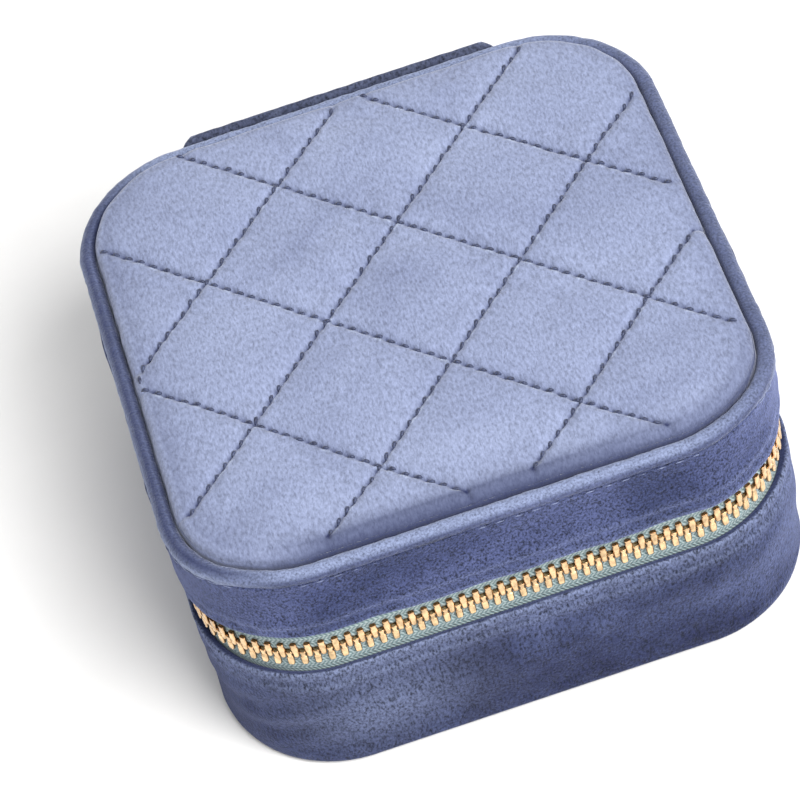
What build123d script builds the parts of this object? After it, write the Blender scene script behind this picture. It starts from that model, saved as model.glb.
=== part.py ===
# Travel jewelry case, closed and zipped, in millimetres.
#
# A square hard-board box with round corners, covered and lined with velvet. A metal zip runs from one end
# of the fabric hinge panel at the back, round the case, to the other end, and parts the lid from the base.
# Frame: origin at the middle of the bottom face, +Z up, the zip's front run faces -Y, the hinge is at +Y.
#
# An "inset" is a distance in from the outer velvet face of the side walls, square to the wall.
from build123d import *
import math
import os

# ---- Case
case_side = 100.0        # width and depth over the velvet
corner_radius = 21.0     # of the side walls, seen from above
zip_height = 30.5        # centre line of the zip above the bottom
band_gap = 6.8           # height of the slot between the velvet of the lid and of the base
top_height = 52.0        # crown of the quilted top

# ---- Wall layers, as insets from the outer face
velvet_in = 1.3          # inner face of the outer velvet band
tape_out, tape_in = 1.4, 2.0
board_out, board_in = 2.1, 4.1
lining_out, lining_in = 4.2, 5.2

# ---- Heights
bottom_velvet = 0.9      # thickness of the bottom fabric
hem_low, hem_high = 0.25, 1.05   # side velvet turned under the bottom edge
hem_inset = 3.2          # how far in the hem reaches
bottom_round = 2.2       # rounding of the bottom edge
bottom_board_low, bottom_board_top = 1.15, 3.0
floor_top = 4.3          # upper face of the padded floor
lip = 0.8                # lining folded over the edge of a board
base_edge = zip_height - band_gap / 2
lid_edge = zip_height + band_gap / 2
piping_radius = 1.5
piping_height = 47.4
side_velvet_top = 45.8
lid_board_low, lid_board_high = 45.2, 47.2
panel_low = 47.4         # seam of the quilted top
panel_inset = 3.1
panel_round = 1.8        # shoulder of the quilted top
panel_skin = 1.3         # thickness of the quilted velvet over its foam

# ---- Zip: a metal chain 4.4 wide on woven tape
chain_inset = 1.7        # middle of the tape's thickness
tooth_pitch = 2.1
tooth_depth = 2.0        # thickness of the chain, through the wall
leg_width, leg_low, leg_high = 1.1, 0.5, 2.2      # crimped leg: along the tape, and from the centre line
head_width, head_reach = 0.8, 0.6                 # head, and how far it passes the centre line
tape_edge = 0.7          # from the centre line to the tape's edge
tape_width = 12.0        # from the centre line to the far edge
tail_edge = 1.5          # where the two tapes part, past the slider
tape_play = 0.03
stop_length = 1.5

# ---- Slider, pull ring and pull tab
slider_turn = 38.0       # degrees round the rear right corner, from the back wall
stop_turn = 22.0
slider_length, slider_width, slider_tail_width = 8.5, 6.4, 5.4
outer_plate = (-0.55, 0.45)      # low and high distance out from the velvet face
inner_plate = (-4.2, -3.3)
flange = 0.6
tape_slot = (-2.7, -1.2)
bail_height, bail_reach, bail_radius = 3.4, 2.8, 0.6
ring_radius, ring_wire = 2.2, 0.45
ring_drop = 1.05                 # centre of the ring below the bail
tab_thickness, tab_length, tab_width = 1.0, 19.0, 5.0
tab_eye, tab_head = 1.0, 1.8
tab_sag = 0.4                    # the eye hangs this far below the ring's wire

# ---- Hinge panel
hinge_width = 56.5
hinge_gap = 0.05
hinge_thickness = 1.6
hinge_low, hinge_high = 3.5, 49.2
hinge_lining_reach = 6.3         # above and below the zip's centre line
fold_thickness = 0.6

# ---- Inside
roll_count = 7
roll_length, roll_height, roll_play = 39.4, 16.0, 0.25
partition_x, partition_thickness, partition_height = -3.6, 2.2, 17.5
divider_y, divider_thickness, divider_height = 15.0, 2.0, 15.5
divider_play = 0.5
mirror_side, mirror_radius, mirror_thickness = 68.0, 7.0, 1.5
window_side, window_radius = 62.0, 5.0
frame_low, frame_high = 41.6, 42.7

half_side = case_side / 2
half_straight = half_side - corner_radius
chain_radius = corner_radius - chain_inset
cavity_half = half_side - lining_in
corner_arc = chain_radius * math.pi / 2
glass_high = frame_high + 0.1 + mirror_thickness


# ---- Shapes that repeat
def plate(inset, low, high):
    """Rounded square, set in from the outer face, between two heights."""
    side = case_side - 2 * inset
    return extrude(Pos(0, 0, low) * RectangleRounded(side, side, corner_radius - inset), high - low)


def wall(outer_inset, inner_inset, low, high):
    """The closed wall between two insets."""
    return plate(outer_inset, low, high) - plate(inner_inset, low, high)


def square(side, radius, low, high):
    return extrude(Pos(0, 0, low) * RectangleRounded(side, side, radius), high - low)


def block(x, y, z):
    """Box from three (low, high) pairs."""
    centre = [(low + high) / 2 for low, high in (x, y, z)]
    size = [high - low for low, high in (x, y, z)]
    return Pos(*centre) * Box(*size)


def rim_place(travel):
    """Place on the outer face at a distance along the zip, measured clockwise from the middle of the back.

    Its local X runs along the rim, its local Y points out of the case, and its height is the zip's.
    """
    along = travel + half_straight
    sides, rest = divmod(along, 2 * half_straight + corner_arc)
    if rest <= 2 * half_straight:
        local = Pos(rest - half_straight, half_side, zip_height)
    else:
        turn = math.degrees((rest - 2 * half_straight) / chain_radius)
        local = Pos(half_straight, half_straight, zip_height) * Rot(0, 0, -turn) * Pos(0, corner_radius, 0)
    return Rot(0, 0, -90 * sides) * local


def corner_travel(turn):
    """Distance along the zip at an angle round the rear right corner."""
    return half_straight + math.radians(turn) * chain_radius


rim_length = 4 * (2 * half_straight + corner_arc)
slider_place = rim_place(corner_travel(slider_turn))


# ---- Base: boards, velvet and lining
def base_side_velvet():
    """Side band with its hem turned under the rounded bottom edge."""
    outer = plate(0, hem_low, base_edge)
    outer = fillet(outer.faces().sort_by(Axis.Z)[0].edges(), bottom_round)
    inner = plate(velvet_in, hem_high, top_height)
    inner = fillet(inner.faces().sort_by(Axis.Z)[0].edges(), bottom_round - velvet_in)
    return outer - inner - plate(hem_inset, 0, top_height)


def base_bottom_board():
    board = plate(velvet_in + 0.2, bottom_board_low, bottom_board_top)
    return fillet(board.faces().sort_by(Axis.Z)[0].edges(), bottom_round - velvet_in)


def base_lining():
    """Lining of the wall, folded over the board's edge where it is sewn to the tape."""
    fold = wall(board_out, lining_in, base_edge - lip, base_edge)
    return wall(lining_out, lining_in, floor_top, base_edge - lip) + fold


def lid_lining():
    fold = wall(board_out, lining_in, lid_edge, lid_edge + lip)
    return wall(lining_out, lining_in, lid_edge + lip, lid_board_low - 0.1) + fold


# ---- Lid: piping, quilted top and mirror
def lid_piping():
    side = case_side - 2 * piping_radius
    path = Pos(0, 0, piping_height) * RectangleRounded(side, side, corner_radius - piping_radius)
    start = Plane((0, -side / 2, piping_height), x_dir=(0, 1, 0), z_dir=(1, 0, 0))
    return sweep(start * Circle(piping_radius), path=path.wire())


def quilted_panel():
    """Velvet top: crowned at its edge and hollow underneath, over the foam."""
    top = plate(panel_inset, panel_low, top_height)
    top = fillet(top.faces().sort_by(Axis.Z)[-1].edges(), panel_round)
    return top - plate(panel_inset + panel_skin, panel_low, top_height - panel_skin)


def quilt_foam():
    return plate(panel_inset + panel_skin + 0.1, panel_low, top_height - panel_skin - 0.1)


def mirror_surround():
    return plate(lining_in + 0.1, frame_high + 0.1, lid_board_low - 0.1) - square(
        mirror_side + 0.6, mirror_radius, frame_high + 0.1, lid_board_low - 0.1
    )


def mirror_frame():
    """Velvet covered frame that holds the mirror by its edge."""
    outer = plate(lining_in + 0.1, frame_low, frame_high)
    return outer - square(window_side, window_radius, frame_low, frame_high)


# ---- Zip tape, teeth and stops. side is +1 for the lid's half and -1 for the base's
def zip_tape(side):
    near, far = sorted((zip_height + side * tape_edge, zip_height + side * tape_width))
    tape = wall(tape_out, tape_in, near, far)
    hinge_zone = block((-hinge_width / 2 - 1, hinge_width / 2 + 1), (0, case_side), (0, top_height))
    tail = (
        Pos(half_straight, half_straight, zip_height)
        * Rot(0, 0, -slider_turn + 2)
        * block((-corner_radius, 0), (0, case_side), (-tail_edge, tail_edge))
    )
    return tape - hinge_zone - tail


def tooth(side):
    """One tooth: a leg that is split over the tape's edge, and a head that meets the other row."""
    middle = -chain_inset
    depth = (middle - tooth_depth / 2, middle + tooth_depth / 2)
    leg = block((-leg_width / 2, leg_width / 2), depth, (leg_low - 0.1, leg_high))
    head = block((-head_width / 2, head_width / 2), depth, (-head_reach, leg_low))
    slot = block((-1, 1), (-tape_in - tape_play, -tape_out + tape_play), (tape_edge - tape_play, leg_high))
    shape = leg + head - slot
    return shape if side > 0 else Rot(180, 0, 0) * Pos(0, 2 * chain_inset, 0) * shape


def zip_teeth(side):
    """A row of teeth from the slider, clockwise round the case, to the bottom stop by the hinge."""
    first = corner_travel(slider_turn) - 0.4
    last = rim_length - half_straight - math.radians(11) * chain_radius
    count = int((last - first) / tooth_pitch)
    shift = tooth_pitch / 2 if side > 0 else 0.0
    one = tooth(side)
    return Compound([rim_place(first + shift + i * tooth_pitch) * one for i in range(count)])


def top_stop(side):
    """Clip on the end of one row, beyond the slider."""
    middle = -chain_inset
    depth = (middle - tooth_depth / 2, middle + tooth_depth / 2)
    clip = block((-stop_length / 2, stop_length / 2), depth, (tail_edge - 0.5, tail_edge + 1.6))
    slot = block((-1, 1), (-tape_in - tape_play, -tape_out + tape_play), (tail_edge - tape_play, 5))
    shape = clip - slot
    if side < 0:
        shape = Rot(180, 0, 0) * Pos(0, 2 * chain_inset, 0) * shape
    return rim_place(corner_travel(stop_turn)) * shape


def bottom_stop():
    """Clip across both rows at the end where the slider stops when the case is open."""
    middle = -chain_inset
    depth = (middle - tooth_depth / 2, middle + tooth_depth / 2)
    clip = block((-stop_length / 2, stop_length / 2), depth, (-leg_high, leg_high))
    for side in (-1, 1):
        reach = sorted((side * (tape_edge - tape_play), side * 5))
        clip -= block((-1, 1), (-tape_in - tape_play, -tape_out + tape_play), reach)
    return rim_place(rim_length - half_straight - math.radians(7) * chain_radius) * clip


# ---- Slider, in its own frame: X along the zip, Y out of the case, Z up; -X is the mouth
def slider_outline(low, high):
    """Both plates' outline: wide at the mouth, narrow at the tail."""
    half = slider_length / 2
    corners = [
        (-half, -slider_width / 2 + 1), (-half, slider_width / 2 - 1), (-half + 1.2, slider_width / 2),
        (0.4, slider_width / 2), (half, slider_tail_width / 2), (half, -slider_tail_width / 2),
        (0.4, -slider_width / 2), (-half + 1.2, -slider_width / 2),
    ]
    outline = make_face(Polyline(*corners, close=True))
    return extrude(Plane.XZ.offset(-low) * outline, -(high - low))


def slider_body():
    """Two plates joined by a post that parts the teeth, with flanges that guide them and a bail on top."""
    half = slider_length / 2
    body = slider_outline(*outer_plate) + slider_outline(*inner_plate)
    body += block((-half + 0.7, -half + 2.7), (inner_plate[1] - 0.1, outer_plate[0] + 0.1), (-1.0, 1.0))
    for side in (-1, 1):
        reach = sorted((side * (slider_width / 2 - flange), side * slider_width / 2))
        for depth in ((inner_plate[1] - 0.1, tape_slot[0]), (tape_slot[1], outer_plate[0] + 0.1)):
            body += block((-half + 1.2, 0.4), depth, reach)
    bail_path = FilletPolyline(
        (-bail_reach, 0, 0), (-bail_reach, bail_height, 0),
        (bail_reach, bail_height, 0), (bail_reach, 0, 0), radius=1.3,
    )
    start = Plane((-bail_reach, 0, 0), x_dir=(1, 0, 0), z_dir=(0, 1, 0))
    return slider_place * (body + sweep(start * Circle(bail_radius), path=bail_path))


def pull_ring():
    """Wire ring that hangs from the bail."""
    ring = Rot(0, 90, 0) * Torus(ring_radius, ring_wire)
    return slider_place * Pos(0, bail_height, -ring_drop) * ring


def pull_tab():
    """Flat metal tab that hangs from the ring by its eye."""
    eye = Circle(tab_head)
    blade_low = -tab_length + tab_width / 2
    blade = make_face(Polyline(
        (-tab_head, 0), (tab_head, 0), (tab_width / 2, blade_low), (-tab_width / 2, blade_low), close=True,
    ))
    outline = eye + blade + Pos(0, blade_low) * Circle(tab_width / 2) - Circle(tab_eye)
    tab = extrude(Plane.XZ.offset(-tab_thickness / 2) * outline, tab_thickness)
    tab = chamfer(tab.faces().sort_by(Axis.Y)[-1].edges(), 0.2)
    return slider_place * Pos(0, bail_height, -ring_drop - ring_radius - tab_sag) * tab


# ---- Hinge: fabric panel outside, strip of lining inside
def hinge_panel():
    width = (-hinge_width / 2, hinge_width / 2)
    depth = (half_side + hinge_gap, half_side + hinge_gap + hinge_thickness)
    panel = block(width, depth, (hinge_low, hinge_high))
    return fillet(panel.faces().sort_by(Axis.Y)[-1].edges(), 0.6)


def hinge_lining():
    """Folded strip: out from the base's inner wall to the hinge panel, up, and in to the lid's wall."""
    width = (-hinge_width / 2, hinge_width / 2)
    inner, wall_face, outer = cavity_half - 1.1, cavity_half - 0.1, half_side - 0.1
    strip = block(width, (inner, outer), (zip_height - hinge_lining_reach, zip_height + hinge_lining_reach))
    fold = band_gap / 2 - 0.1
    strip -= block(width, (0, outer - fold_thickness), (zip_height - fold + fold_thickness,
                                                        zip_height + fold - fold_thickness))
    strip -= block(width, (wall_face, case_side), (0, zip_height - fold))
    return strip - block(width, (wall_face, case_side), (zip_height + fold, case_side))


# ---- Tray: ring rolls, partition and dividers
roll_pitch = 2 * cavity_half / roll_count
roll_end = partition_x - partition_thickness / 2 - 0.2


def ring_roll(index):
    """Padded bar with a round top, lying left to right; rings stand in the groove between two."""
    width = roll_pitch - roll_play
    radius = width / 2
    section = Pos(0, (roll_height - radius) / 2) * Rectangle(width, roll_height - radius)
    section += Pos(0, roll_height - radius) * Circle(radius)
    middle = -cavity_half + (index + 0.5) * roll_pitch
    bar = Pos(roll_end - roll_length, middle, floor_top + 0.1) * extrude(Plane.YZ * section, roll_length)
    return bar & plate(lining_in + 0.3, floor_top, top_height)


def tray_partition():
    half = partition_thickness / 2
    reach = cavity_half - 0.2
    return block((partition_x - half, partition_x + half), (-reach, reach),
                 (floor_top + 0.1, floor_top + partition_height))


def divider(y):
    """Loose divider that lifts out of the tray."""
    half = divider_thickness / 2
    return block((partition_x + partition_thickness / 2 + divider_play, cavity_half - divider_play),
                 (y - half, y + half), (floor_top + 0.1, floor_top + divider_height))


parts = {
    "base_bottom_velvet": plate(hem_inset + 0.1, 0, bottom_velvet),
    "base_bottom_board": base_bottom_board(),
    "base_wall_board": wall(board_out, board_in, bottom_board_top + 0.1, base_edge - lip - 0.05),
    "base_side_velvet": base_side_velvet(),
    "base_lining": base_lining(),
    "base_floor_pad": plate(lining_out, bottom_board_top + 0.1, floor_top - 0.05),
    "tray_partition": tray_partition(),
    "divider_front": divider(-divider_y),
    "divider_rear": divider(divider_y),
    "zip_tape_lower": zip_tape(-1),
    "zip_teeth_lower": zip_teeth(-1),
    "zip_top_stop_lower": top_stop(-1),
    "zip_bottom_stop": bottom_stop(),
    "hinge_panel": hinge_panel(),
    "hinge_lining": hinge_lining(),
    "lid_wall_board": wall(board_out, board_in, lid_edge + lip + 0.05, lid_board_low - 0.1),
    "lid_top_board": plate(2 * piping_radius + 0.1, lid_board_low, lid_board_high),
    "lid_side_velvet": wall(0, velvet_in, lid_edge, side_velvet_top),
    "lid_lining": lid_lining(),
    "lid_piping": lid_piping(),
    "quilt_foam": quilt_foam(),
    "quilted_panel": quilted_panel(),
    "mirror_backing": square(mirror_side, mirror_radius, glass_high + 0.1, lid_board_low - 0.1),
    "mirror_glass": square(mirror_side, mirror_radius, frame_high + 0.1, glass_high),
    "mirror_surround": mirror_surround(),
    "mirror_frame": mirror_frame(),
    "zip_tape_upper": zip_tape(1),
    "zip_teeth_upper": zip_teeth(1),
    "zip_top_stop_upper": top_stop(1),
    "zip_slider": slider_body(),
    "pull_ring": pull_ring(),
    "pull_tab": pull_tab(),
}
for index in range(roll_count):
    parts[f"ring_roll_{index + 1}"] = ring_roll(index)

os.makedirs("parts", exist_ok=True)
for name, shape in parts.items():
    export_step(shape, f"parts/{name}.step")
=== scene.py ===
import bpy
import bmesh
import math
import numpy as np
from mathutils import Euler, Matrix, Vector
from mathutils.bvhtree import BVHTree


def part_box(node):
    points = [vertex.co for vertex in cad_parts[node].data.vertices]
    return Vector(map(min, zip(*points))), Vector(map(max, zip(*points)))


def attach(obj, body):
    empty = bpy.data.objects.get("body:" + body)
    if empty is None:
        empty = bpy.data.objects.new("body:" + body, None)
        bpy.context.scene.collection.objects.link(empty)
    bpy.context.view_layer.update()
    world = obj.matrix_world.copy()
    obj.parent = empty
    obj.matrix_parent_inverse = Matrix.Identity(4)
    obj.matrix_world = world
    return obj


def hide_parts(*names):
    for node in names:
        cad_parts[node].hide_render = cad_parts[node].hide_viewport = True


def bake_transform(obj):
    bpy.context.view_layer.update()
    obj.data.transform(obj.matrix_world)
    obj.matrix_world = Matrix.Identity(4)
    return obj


# Travel jewelry case: finished fabric, thread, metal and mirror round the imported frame.
# Lengths are in millimetres here, and mesh_object() turns them into metres.
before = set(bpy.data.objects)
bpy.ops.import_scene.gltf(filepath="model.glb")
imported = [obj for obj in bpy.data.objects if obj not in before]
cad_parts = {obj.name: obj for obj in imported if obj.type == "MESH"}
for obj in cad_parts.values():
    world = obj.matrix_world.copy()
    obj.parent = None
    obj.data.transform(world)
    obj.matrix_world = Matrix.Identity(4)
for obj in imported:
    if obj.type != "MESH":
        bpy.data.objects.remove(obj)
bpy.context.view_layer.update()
MM = 0.001
CIRCLE = 2 * math.pi

# ---- The case's sizes, as in the part
HALF, CORNER = 50.0, 21.0        # half its side, and the radius of its upright corners
STRAIGHT = HALF - CORNER
CHAIN = CORNER - 1.7             # radius of the zip chain round the corners
ZIP = 30.5                       # height of the zip's centre line
TOOTH_PITCH = 2.1
SLIDER_TURN = 38.0               # degrees round the rear right corner
HINGE_HALF, HINGE_LOW, HINGE_HIGH = 28.25, 3.5, 49.2
SIDE_LENGTH = 2 * STRAIGHT + CORNER * math.pi / 2
RIM_LENGTH = 4 * SIDE_LENGTH
CHAIN_SIDE = 2 * STRAIGHT + CHAIN * math.pi / 2
CHAIN_LENGTH = 4 * CHAIN_SIDE

# ---- Sizes of the soft velvet, which differ a little from the part's
BASE_EDGE, LID_EDGE = 26.35, 35.0    # its edges along the zip
LID_BAND_TOP = 47.2
FRONT_LEAN, SIDE_LEAN = 1.25, 0.4    # the lid's top edge stands in at the front, and out at the sides
FOOT_LEAN = 0.95                     # the base's bottom edge stands in at the front
FRONT_LEFT = 2.5 * SIDE_LENGTH - 20  # distance round to a brushed patch left of the front's middle


# ---- Places round the case
def stack(*parts):
    """Arrays side by side along a new last axis."""
    return np.stack(parts, -1)


def outline(travel, radius=CORNER):
    """Points and outward normals on the outer face, at distances clockwise from the middle of the back.

    The distances are measured along a path that has this radius in the corners.
    """
    travel = np.asarray(travel, float)
    side, rest = np.divmod(travel + STRAIGHT, 2 * STRAIGHT + radius * math.pi / 2)
    turn = np.clip((rest - 2 * STRAIGHT) / radius, 0, None)
    x = np.minimum(rest, 2 * STRAIGHT) - STRAIGHT + CORNER * np.sin(turn)
    y = STRAIGHT + CORNER * np.cos(turn)
    angle = -side * math.pi / 2
    c, s = np.cos(angle), np.sin(angle)
    place = stack(c * x - s * y, s * x + c * y)
    nx, ny = np.sin(turn), np.cos(turn)
    normal = stack(c * nx - s * ny, s * nx + c * ny)
    return place, normal


def soft_step(values):
    """0 below 0, 1 above 1, and smooth between."""
    values = np.clip(values, 0, 1)
    return values * values * (3 - 2 * values)


def settle(points):
    """The soft lid leans in at the front and out at both sides, near its top edge."""
    points = np.array(points, float)
    points[..., 1] += FRONT_LEAN * soft_step((-points[..., 1] - 35) / 13)
    points[..., 0] += SIDE_LEAN * np.sign(points[..., 0]) * soft_step((abs(points[..., 0]) - 35) / 13)
    return points


def bell(values, middle, width):
    """1 at the middle, about a third a width away from it, and soon 0."""
    return np.exp(-((values - middle) / width) ** 2)


def waves(points, size, seed):
    """Smooth random field with a spread of about 1 and features of a size in mm."""
    count = 14
    rng = np.random.default_rng(seed)
    direction = rng.normal(size=(count, 3))
    direction /= np.linalg.norm(direction, axis=1)[:, None]
    turns = direction * (CIRCLE / size) * rng.uniform(0.6, 1.5, (count, 1))
    phase = rng.uniform(0, CIRCLE, count)
    return np.sin(points @ turns.T + phase).sum(-1) / math.sqrt(count / 2)


def short_runs(points, step):
    """Points along a path, about a step apart, without its last point."""
    dense = []
    for a, b in zip(points, points[1:]):
        parts = max(1, int(np.linalg.norm(b - a) / step))
        dense += [a + (b - a) * k / parts for k in range(parts)]
    return dense


def section(corners, step):
    """Closed section through corners (inset, height, radius), rounded and cut into short runs."""
    points = []
    for i, (inset, height, radius) in enumerate(corners):
        corner = np.array((inset, height), float)
        back = np.array(corners[i - 1][:2]) - corner
        ahead = np.array(corners[(i + 1) % len(corners)][:2]) - corner
        back, ahead = back / np.linalg.norm(back), ahead / np.linalg.norm(ahead)
        cut = radius / math.tan(math.acos(np.clip(back @ ahead, -1, 1)) / 2)
        start, end = corner + back * cut, corner + ahead * cut
        for t in np.linspace(0, 1, 5):
            points.append((1 - t) ** 2 * start + 2 * t * (1 - t) * corner + t * t * end)
    return np.array(short_runs(points + points[:1], step))


def grid_faces(rows, columns, wrap_rows=False, wrap_columns=False, first=0):
    r, c = np.meshgrid(np.arange(rows - (not wrap_rows)), np.arange(columns - (not wrap_columns)),
                       indexing="ij")
    r2, c2 = (r + 1) % rows, (c + 1) % columns
    quads = stack(r * columns + c, r * columns + c2, r2 * columns + c2, r2 * columns + c)
    return (quads.reshape(-1, 4) + first).tolist()


def closed_run(rows, columns):
    """Faces of closed rows one after another, with a cap on the first and the last."""
    last = (rows - 1) * columns
    return grid_faces(rows, columns, False, True) + [
        list(range(columns)), list(range(last, last + columns))[::-1]]


def repeated(faces, size, count, first=0):
    """The faces of one small form for many in a row, each with this many points."""
    return [[v + first + i * size for v in face] for i in range(count) for face in faces]


def border(rows, columns):
    """Indices of a grid's border, in order round it."""
    r, c = np.arange(rows - 1), np.arange(columns - 1)
    return np.concatenate([c, columns - 1 + r * columns, rows * columns - 1 - c, (rows - 1 - r) * columns])


def bridges(rings):
    """Faces between closed rows of as many points, from each to the next."""
    return [face for a, b in zip(rings, rings[1:])
            for face in stack(a, b, np.roll(b, -1), np.roll(a, -1)).tolist()]


def two_sided(outer, inner):
    """Points and faces of a sheet from the (rows, columns, 3) points of its two faces."""
    rows, columns = outer.shape[:2]
    total = rows * columns
    faces = grid_faces(rows, columns) + [f[::-1] for f in grid_faces(rows, columns, first=total)]
    edge = border(rows, columns)
    ahead = np.roll(edge, -1)
    faces += stack(edge, ahead, ahead + total, edge + total).tolist()
    return np.concatenate([outer.reshape(-1, 3), inner.reshape(-1, 3)]), faces


# ---- Objects
def mesh_object(name, points, faces, material, body=None, slot=None, replaces=()):
    mesh = bpy.data.meshes.new(name)
    mesh.from_pydata((np.asarray(points, float).reshape(-1, 3) * MM).tolist(), [], faces)
    bm = bmesh.new()
    bm.from_mesh(mesh)
    bmesh.ops.recalc_face_normals(bm, faces=bm.faces)
    bm.to_mesh(mesh)
    bm.free()
    mesh.shade_smooth()
    mesh.materials.append(material)
    obj = bpy.data.objects.new(name, mesh)
    bpy.context.scene.collection.objects.link(obj)
    if body:
        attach(obj, body)
    if replaces:
        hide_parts(*replaces)
    return obj


def round_edges(obj, name, width, segments):
    bevel = obj.modifiers.new(name, "BEVEL")
    bevel.width, bevel.segments, bevel.limit_method = width * MM, segments, "ANGLE"


def add_values(obj, name, values):
    """Stores one number per point for the materials."""
    layer = obj.data.attributes.new(name, "FLOAT", "POINT")
    layer.data.foreach_set("value", np.asarray(values, np.float32).ravel())


def swept(travel, inset, height):
    """Points of a section carried round the case, one row per station."""
    place, normal = outline(travel)
    shape = (len(travel), np.shape(inset)[-1])
    inset, height = np.broadcast_to(inset, shape), np.broadcast_to(height, shape)
    flat = place[:, None] - normal[:, None] * inset[..., None]
    return np.concatenate([flat, height[..., None]], -1)


def ring_points(corners, spacing, step):
    """Stations, section and points of a closed band round the case."""
    count = int(RIM_LENGTH / spacing)
    travel = np.arange(count) * RIM_LENGTH / count
    shape = section(corners, step)
    return travel, shape, swept(travel, shape[:, 0], shape[:, 1])


def push_out(normal, points, shape, amount):
    """Moves the points of the outer face out along the wall's normal; the inner face stays."""
    outer = np.clip((0.9 - shape[:, 0]) / 0.7, 0, 1)
    points[..., :2] += normal[:, None] * (amount * outer)[..., None]


def ring_object(name, travel, points, *rest, **more):
    rows, columns = points.shape[:2]
    obj = mesh_object(name, points, grid_faces(rows, columns, True, True), *rest, **more)
    add_values(obj, "travel", np.repeat(travel, columns))
    return obj


def tube_mesh(lines, radii):
    """Points and faces of many short closed tubes; lines is (tubes, steps, 3), radii one per step."""
    sides = 6
    lines = np.asarray(lines, float)
    count, steps = lines.shape[:2]
    along = np.gradient(lines, axis=1)
    along /= np.linalg.norm(along, axis=-1)[..., None]
    up = np.zeros_like(along)
    up[..., 2] = 1.0
    up[np.abs(along[..., 2]) > 0.9] = (1.0, 0.0, 0.0)
    side = np.cross(along, up)
    side /= np.linalg.norm(side, axis=-1)[..., None]
    up = np.cross(side, along)
    turn = np.arange(sides) * CIRCLE / sides
    ring = (side[:, :, None] * np.cos(turn)[None, None, :, None]
            + up[:, :, None] * np.sin(turn)[None, None, :, None])
    points = lines[:, :, None] + ring * np.asarray(radii)[None, :, None, None]
    return points.reshape(-1, 3), repeated(closed_run(steps, sides), steps * sides, count)


# ---- Materials
class Nodes:
    """A material under construction: its tree, and short calls to add nodes."""

    def __init__(self, name, **sockets):
        self.material = bpy.data.materials.new(name)
        self.material.use_nodes = True
        self.tree = self.material.node_tree
        self.shader = self.tree.nodes["Principled BSDF"]
        for socket, value in sockets.items():
            self.put(self.shader, socket.replace("_", " "), value)
        self.coordinates = self.add("ShaderNodeTexCoord").outputs["Object"]

    def put(self, node, socket, value):
        """Gives a socket another node's output or a value; None leaves it alone."""
        if isinstance(value, bpy.types.NodeSocket):
            self.tree.links.new(value, node.inputs[socket])
        elif value is not None:
            node.inputs[socket].default_value = value

    def add(self, kind, sockets=(), **settings):
        node = self.tree.nodes.new(kind)
        for key, value in settings.items():
            setattr(node, key, value)
        for socket, value in dict(sockets).items():
            self.put(node, socket, value)
        return node

    def mapped(self, scale):
        return self.add("ShaderNodeMapping", {"Vector": self.coordinates, "Scale": scale}).outputs["Vector"]

    def noise(self, scale, detail=2.0, vector=None, distortion=0.0, roughness=0.5):
        return self.add("ShaderNodeTexNoise", {
            "Vector": vector or self.coordinates, "Scale": scale, "Detail": detail,
            "Distortion": distortion, "Roughness": roughness}).outputs["Fac"]

    def stored(self, name):
        return self.add("ShaderNodeAttribute", attribute_name=name).outputs["Fac"]

    def math(self, operation, a, b=None, clamp=False):
        return self.add("ShaderNodeMath", {0: a, 1: b}, operation=operation, use_clamp=clamp).outputs[0]

    def ramp(self, factor, *stops):
        node = self.add("ShaderNodeValToRGB", {"Fac": factor})
        elements = node.color_ramp.elements
        while len(elements) < len(stops):
            elements.new(0.5)
        for element, (position, colour) in zip(elements, stops):
            element.position = position
            element.color = (*colour, 1.0)
        return node.outputs["Color"]

    def mix(self, factor, a, b, blend="MIX"):
        a, b = ((*c, 1.0) if isinstance(c, tuple) else c for c in (a, b))
        node = self.add("ShaderNodeMix", {0: factor, 6: a, 7: b}, data_type="RGBA", blend_type=blend)
        return node.outputs[2]

    def finish(self, colour, height=None, bump=0.3, depth=0.0003, roughness=None):
        self.put(self.shader, "Base Color", colour)
        self.put(self.shader, "Roughness", roughness)
        if height is not None:
            node = self.add("ShaderNodeBump", {"Height": height, "Strength": bump, "Distance": depth})
            self.put(self.shader, "Normal", node.outputs["Normal"])
        return self.material


def grey(value):
    return (value, value, value)


def velvet(name, dark, middle, light, sheen, tint, pile_scale, mottle_scale=42.0, seam=False,
           pile_depth=0.5, low=0.3, high=0.72, raised=None, spread=0.24):
    """Short pile: brushed light and dark patches, a fine streaky pile and a soft sheen.

    The stored value "raised" mixes in a lighter colour, painted highlight and sheen on folds, edges and
    tufts (on the base also a brushed patch, the nap's own lighter tone), and "seam" mixes in navy,
    painted shade in seams and grooves.
    """
    n = Nodes(name, Roughness=0.9, Sheen_Weight=sheen, Sheen_Roughness=0.45, Sheen_Tint=(*tint, 1.0),
              Specular_IOR_Level=0.15)
    brushed = n.noise(mottle_scale, 3.0, distortion=0.9, roughness=0.55)
    colour = n.ramp(brushed, (low, dark), (0.5, middle), (high, light))
    if raised:
        # Lighter colour: painted highlight and sheen, and on the base its brushed nap.
        colour = n.mix(n.stored("raised"), colour, raised)
    pile = n.noise(1.0, 3.0, n.mapped(pile_scale), roughness=0.62)
    shade = n.ramp(pile, (0.5 - spread, grey(1 - pile_depth)), (0.5, grey(0.95)),
                   (0.5 + spread, grey(1 + pile_depth * 0.6)))
    colour = n.mix(1.0, colour, shade, "MULTIPLY")
    if seam:
        # Navy: painted shade in seams and grooves.
        colour = n.mix(n.stored("seam"), colour, (0.018, 0.024, 0.075))
    fine = n.noise(2300.0, 2.0)
    height = n.math("ADD", n.math("MULTIPLY", pile, 0.7), n.math("MULTIPLY", fine, 0.4))
    return n.finish(colour, height, 0.75, 0.00035)


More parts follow.
